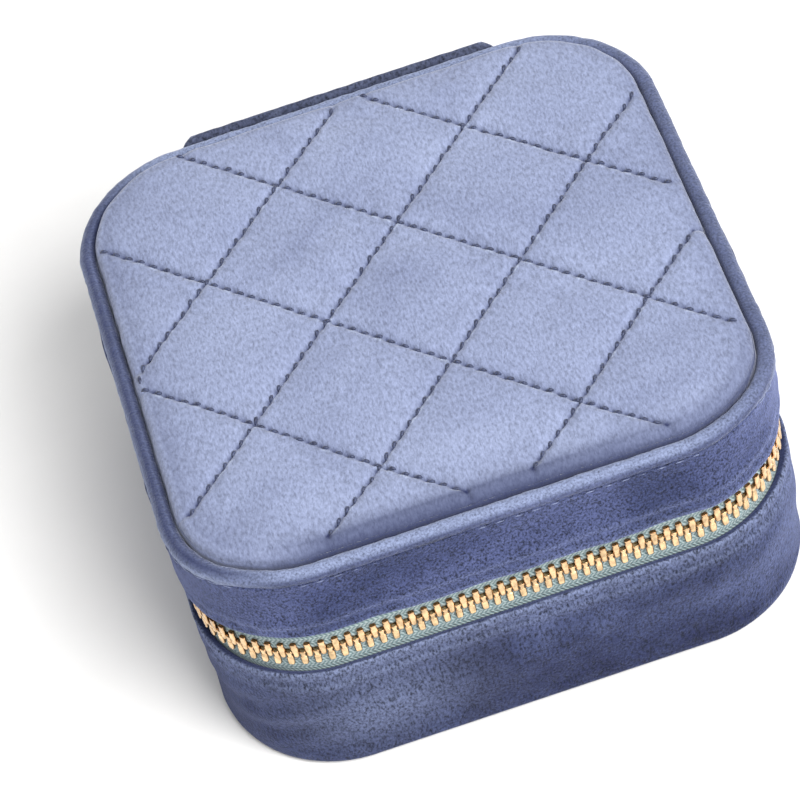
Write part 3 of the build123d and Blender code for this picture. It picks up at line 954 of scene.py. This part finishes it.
def hinge_inside():
    """Folded strip of lining: up the base's wall, out to the panel, up, and in to the lid's wall."""
    inner, outer, reach, fold = 43.95, 49.6, 6.2, 3.0
    lower = [(inner + 0.25, ZIP - reach), (inner + 0.25, ZIP - fold - 0.3), (inner + 0.6, ZIP - fold),
             (outer - 0.5, ZIP - fold + 0.1), (outer, ZIP - fold + 0.6)]
    upper = [(outer, ZIP + fold - 0.6), (outer - 0.5, ZIP + fold - 0.1), (inner + 0.6, ZIP + fold),
             (inner + 0.25, ZIP + fold + 0.3), (inner + 0.25, ZIP + reach)]
    path = [np.array(p) for p in lower + [(outer, ZIP)] + upper]
    line = np.array(short_runs(path, 0.5) + path[-1:])
    along = np.gradient(line, axis=0)
    along /= np.linalg.norm(along, axis=1)[:, None]
    across = stack(-along[:, 1], along[:, 0])
    x = np.linspace(-HINGE_HALF, HINGE_HALF, 60)
    sides = []
    for half_thickness in (-0.22, 0.22):
        shifted = line + across * half_thickness
        gx = np.broadcast_to(x[None], (len(line), len(x)))
        y = np.broadcast_to(shifted[:, :1], gx.shape)
        z = np.broadcast_to(shifted[:, 1:], gx.shape)
        sides.append(stack(gx, y + 0.04 * waves(stack(gx, y, z), 6, 33), z))
    points, faces = two_sided(*sides)
    obj = mesh_object("hinge_lining_strip", points, faces, lining_suede, slot="lining",
                      replaces=["hinge_lining"])
    bend_at_hinge(obj)


# ---- Linings, pads and the tray
def wall_lining(body, corners):
    travel, _, points = ring_points(corners, 1.0, 0.9)
    points[..., :2] += outline(travel)[1][:, None] * (0.05 * waves(points, 9, 41))[..., None]
    obj = ring_object(f"{body}_lining_cloth", travel, points, lining_suede, body, "lining",
                      [f"{body}_lining"])


def closed_slab(x, y, top, low, edge, half, radius):
    """Closed form between a level underside and a top surface on a rounded square grid, with a round edge."""
    n = len(x)
    flat = stack(x, y, np.full_like(x, low)).reshape(-1, 3)
    raised = stack(x, y, top).reshape(-1, 3)
    ring = border(n, n)
    nx, ny = border_normals(flat[ring, 0], flat[ring, 1], half, radius)
    rows = [raised]
    for angle in np.linspace(0, math.pi, 7)[1:-1]:
        share = (1 - math.cos(angle)) / 2
        out = edge * math.sin(angle)
        z = raised[ring, 2] * (1 - share) + low * share
        rows.append(stack(raised[ring, 0] + nx * out, raised[ring, 1] + ny * out, z))
    rows.append(flat)
    count, underside = len(ring), n * n + 5 * len(ring)
    rings = [ring] + [n * n + i * count + np.arange(count) for i in range(5)] + [underside + ring]
    faces = grid_faces(n, n) + bridges(rings) + [f[::-1] for f in grid_faces(n, n, first=underside)]
    return np.concatenate(rows), faces


def slab(name, inset, low, high, edge, puff, material, slot, node, seed):
    """Soft slab of the base with a rounded square outline, flat below and slightly crowned above."""
    half, radius = HALF - inset - edge, CORNER - inset - edge
    x, y = rounded_square(*unit_grid(61), half, radius)
    inside = edge_distance(x, y, half, radius)
    field = stack(x, y, np.zeros_like(x))
    top = high - puff * np.exp(-inside / 3) - abs(0.25 * puff * waves(field, 11, seed))
    points, faces = closed_slab(x, y, top, low, edge, half, radius)
    return mesh_object(name, points, faces, material, "base", slot, [node])


def bar(loop, start, end, radius, seed, wrinkle):
    """Soft bar: a closed section (across, height) run from start to end, with its ends rounded off."""
    centre = (loop.max(0) + loop.min(0)) / 2
    half = (loop.max(0) - loop.min(0)) / 2
    quarter = np.linspace(0, 1, 6)
    depths = np.concatenate([radius * (1 - np.cos(quarter * math.pi / 2)), [radius * 1.6, radius * 2.6]])
    stations = [(start + d, d) for d in depths]
    stations += [(start + (end - start) * t, radius) for t in np.linspace(0.2, 0.8, 21)]
    stations += [(end - d, d) for d in depths[::-1]]
    rings = []
    for along, depth in stations:
        shrink = radius - math.sqrt(max(radius ** 2 - (radius - min(depth, radius)) ** 2, 0))
        scale = 1 - shrink * 0.98 / np.maximum(half, radius)
        ring = centre + (loop - centre) * scale
        rings.append(stack(np.broadcast_to(along, len(ring)), ring[:, 0], ring[:, 1]))
    points = np.array(rings)
    away = points - points.mean(1, keepdims=True)
    away[..., 0] = 0
    length = np.maximum(np.linalg.norm(away, axis=-1, keepdims=True), 1e-6)
    points = points - away / length * abs(wrinkle * waves(points, 6.5, seed))[..., None]
    return points, closed_run(*points.shape[:2])


ROLLS = 7
CAVITY = HALF - 5.2
PITCH = 2 * CAVITY / ROLLS


def ring_rolls():
    """Padded bars, round on top; the first and last follow the case's rounded corners."""
    low_corner, high_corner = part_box("ring_roll_4")
    end = high_corner.x / MM
    bottom, top = low_corner.z / MM, high_corner.z / MM
    width = PITCH - 0.3
    for index in range(ROLLS):
        middle = -CAVITY + (index + 0.5) * PITCH
        radius = width / 2
        arch = np.linspace(0, math.pi, 17)
        up_side = (0.9, 3.5, 7.0)
        loop = [(radius * 0.985, bottom + k) for k in up_side]
        loop += list(zip(radius * np.cos(arch), top - radius + radius * np.sin(arch)))
        loop += [(-radius * 0.99, bottom + k) for k in up_side[::-1]]
        loop += [(a, bottom + 0.03) for a in np.linspace(-radius * 0.9, radius * 0.9, 10)]
        loop = np.array(loop) + (middle, 0)
        past = np.clip(abs(loop[:, 0]) - STRAIGHT, 0, None)
        inner = CORNER - 5.5
        start = -(STRAIGHT + np.sqrt(np.clip(inner ** 2 - past ** 2, 0, None)))
        points, faces = bar(loop, start, end, 1.6, 60 + index, 0.12)
        points[..., 0] = np.minimum(points[..., 0], end)
        obj = mesh_object(f"ring_roll_{index + 1}_padded", points, faces, lining_suede, "base", "lining",
                          [f"ring_roll_{index + 1}"])


def covered_board(node, body, along_x, seed):
    """Card strip wrapped in suede, with rounded edges and a rounded top."""
    low, high = (np.array(c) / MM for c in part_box(node))
    a, b = (1, 0) if along_x else (0, 1)
    half = (high[a] - low[a]) / 2
    middle = (high[a] + low[a]) / 2
    z0, z1 = low[2], high[2]
    arch = np.linspace(0, math.pi, 9)
    loop = [(half * math.cos(t), z1 - half + half * math.sin(t)) for t in arch]
    loop += [(-half, z) for z in np.linspace(z1 - half - 1.2, z0 + 0.4, 9)]
    loop += [(-half * 0.6, z0), (half * 0.6, z0)]
    loop += [(half, z) for z in np.linspace(z0 + 0.4, z1 - half - 1.2, 9)]
    loop = np.array(loop) + (middle, 0)
    points, faces = bar(loop, low[b], high[b], 0.9, seed, 0.04)
    if not along_x:
        points = points[..., [1, 0, 2]]
    obj = mesh_object(f"{node}_covered", points, faces, lining_suede, body, "lining", [node])


def mirror_frame():
    """Padded cloth frame: rolled inner edge, flat back against the foam."""
    stations = 360
    travel = np.arange(stations) * RIM_LENGTH / stations
    place, normal = outline(travel)
    outer = place - normal * 5.3
    window, window_corner = 31.0, 5.0
    past = np.clip(abs(place) - STRAIGHT, 0, None) / CORNER
    along_side = np.minimum(abs(place) / STRAIGHT, 1)
    inner = np.sign(place) * (along_side * (window - window_corner) + past * window_corner)
    loop = [(0.03, 41.75), (0.10, 41.55), (0.25, 41.42), (0.5, 41.36), (0.75, 41.42), (0.9, 41.55)]
    loop += [(0.965, 41.8), (0.99, 42.15), (0.965, 42.55), (0.9, 42.68), (0.5, 42.7), (0.1, 42.7),
             (0.02, 42.4)]
    share = np.array([s for s, _ in loop])
    height = np.array([max(z, 41.6) for _, z in loop])
    flat = outer[:, None] * (1 - share)[None, :, None] + inner[:, None] * share[None, :, None]
    points = np.concatenate([flat, np.broadcast_to(height, (stations, len(loop)))[..., None]], -1)
    points[..., 2] += abs(0.08 * waves(points, 12, 71)) * (points[..., 2] < 42.2)
    obj = ring_object("mirror_frame_cloth", travel, points, lining_suede, "lid", "lining", ["mirror_frame"])


# ---- Build everything
top = quilted_top()
quilt_stitches(top)
lid_band()
base_band()
rim_piping()
rim_stitches()
for side in (-1, 1):
    zip_tape(side)
    zip_teeth(side)
hinge_strip()
hinge_inside()

wall_lining("base", [(5.2, 4.3, 0.2), (5.2, 27.1, 0.5), (2.1, 27.1, 0.3), (2.1, 26.35, 0.2),
                     (4.2, 26.35, 0.2), (4.2, 4.3, 0.2)])
wall_lining("lid", [(5.2, 45.1, 0.2), (5.2, 33.9, 0.5), (2.1, 33.9, 0.3), (2.1, 34.65, 0.2),
                    (4.2, 34.65, 0.2), (4.2, 45.1, 0.2)])
bottom = slab("bottom_cloth", 3.3, 0.0, 0.9, 0.4, 0.05, shaded_base_velvet, "velvet", "base_bottom_velvet", 51)
pad = slab("floor_pad_cloth", 4.25, 3.12, 4.25, 0.5, 0.2, lining_suede, "lining", "base_floor_pad", 52)
ring_rolls()
covered_board("tray_partition", "base", False, 81)
covered_board("divider_front", "front_divider", True, 82)
covered_board("divider_rear", "rear_divider", True, 83)
mirror_frame()

# The CAD's own boards, foam, glass and zip hardware stay in view.
shown = {board: ("base_bottom_board", "base_wall_board", "lid_wall_board", "lid_top_board",
                 "mirror_backing"),
         foam: ("mirror_surround",),
         mirror_material(): ("mirror_glass",),
         gold: ("zip_slider", "pull_ring", "pull_tab", "zip_top_stop_upper", "zip_top_stop_lower",
                "zip_bottom_stop")}
for finish, nodes in shown.items():
    for node in nodes:
        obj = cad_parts[node]
        obj.data.materials.clear()
        obj.data.materials.append(finish)
        if finish is gold and node != "pull_ring":
            round_edges(obj, "soft_edges", 0.12, 3)
        if node == "mirror_glass":
            round_edges(obj, "ground_edge", 0.35, 2)


# ---- Floor, light and camera
def studio():
    bpy.ops.mesh.primitive_plane_add(size=6.0, location=(0, 0, -0.0002))
    floor = bpy.context.object
    floor.name = "studio_floor"
    floor.data.materials.append(plain("studio_paper", grey(0.86), grey(0.88), 60.0, 0.95, 0.02))
    scene = bpy.context.scene
    world = bpy.data.worlds.new("studio_world")
    world.use_nodes = True
    tree = world.node_tree
    sky = tree.nodes.new("ShaderNodeTexCoord")
    split = tree.nodes.new("ShaderNodeSeparateXYZ")
    fade = tree.nodes.new("ShaderNodeValToRGB")
    fade.color_ramp.elements[0].color = (0.55, 0.55, 0.56, 1.0)
    fade.color_ramp.elements[1].color = (1.0, 1.0, 1.0, 1.0)
    tree.links.new(sky.outputs["Generated"], split.inputs["Vector"])
    tree.links.new(split.outputs["Z"], fade.inputs["Fac"])
    tree.links.new(fade.outputs["Color"], tree.nodes["Background"].inputs["Color"])
    tree.nodes["Background"].inputs["Strength"].default_value = 0.75
    scene.world = world
    for name, place, size, power, colour in (
            ("key", (0.43, -0.74, 0.98), 0.75, 23.5, (1.0, 0.985, 0.96)),
            ("front_fill", (0.3, -1.1, 0.6), 0.9, 0.6, (0.96, 0.98, 1.0))):
        light = bpy.data.lights.new(name, "AREA")
        light.size, light.energy, light.color = size, power, colour
        obj = bpy.data.objects.new(name, light)
        obj.location = place
        obj.rotation_euler = (Vector((0, 0, 0.03)) - Vector(place)).to_track_quat("-Z", "Y").to_euler()
        scene.collection.objects.link(obj)
    camera = bpy.data.cameras.new("camera")
    camera.lens, camera.sensor_width, camera.clip_end = 169.98, 36.0, 20.0
    eye = bpy.data.objects.new("camera", camera)
    eye.location = Vector((-29.06, -414.99, 495.37)) * MM
    eye.rotation_euler = Euler([math.radians(a) for a in (40.384, 10.521, -15.174)], "XYZ")
    scene.collection.objects.link(eye)
    scene.camera = eye
    scene.view_settings.view_transform = "Standard"


studio()
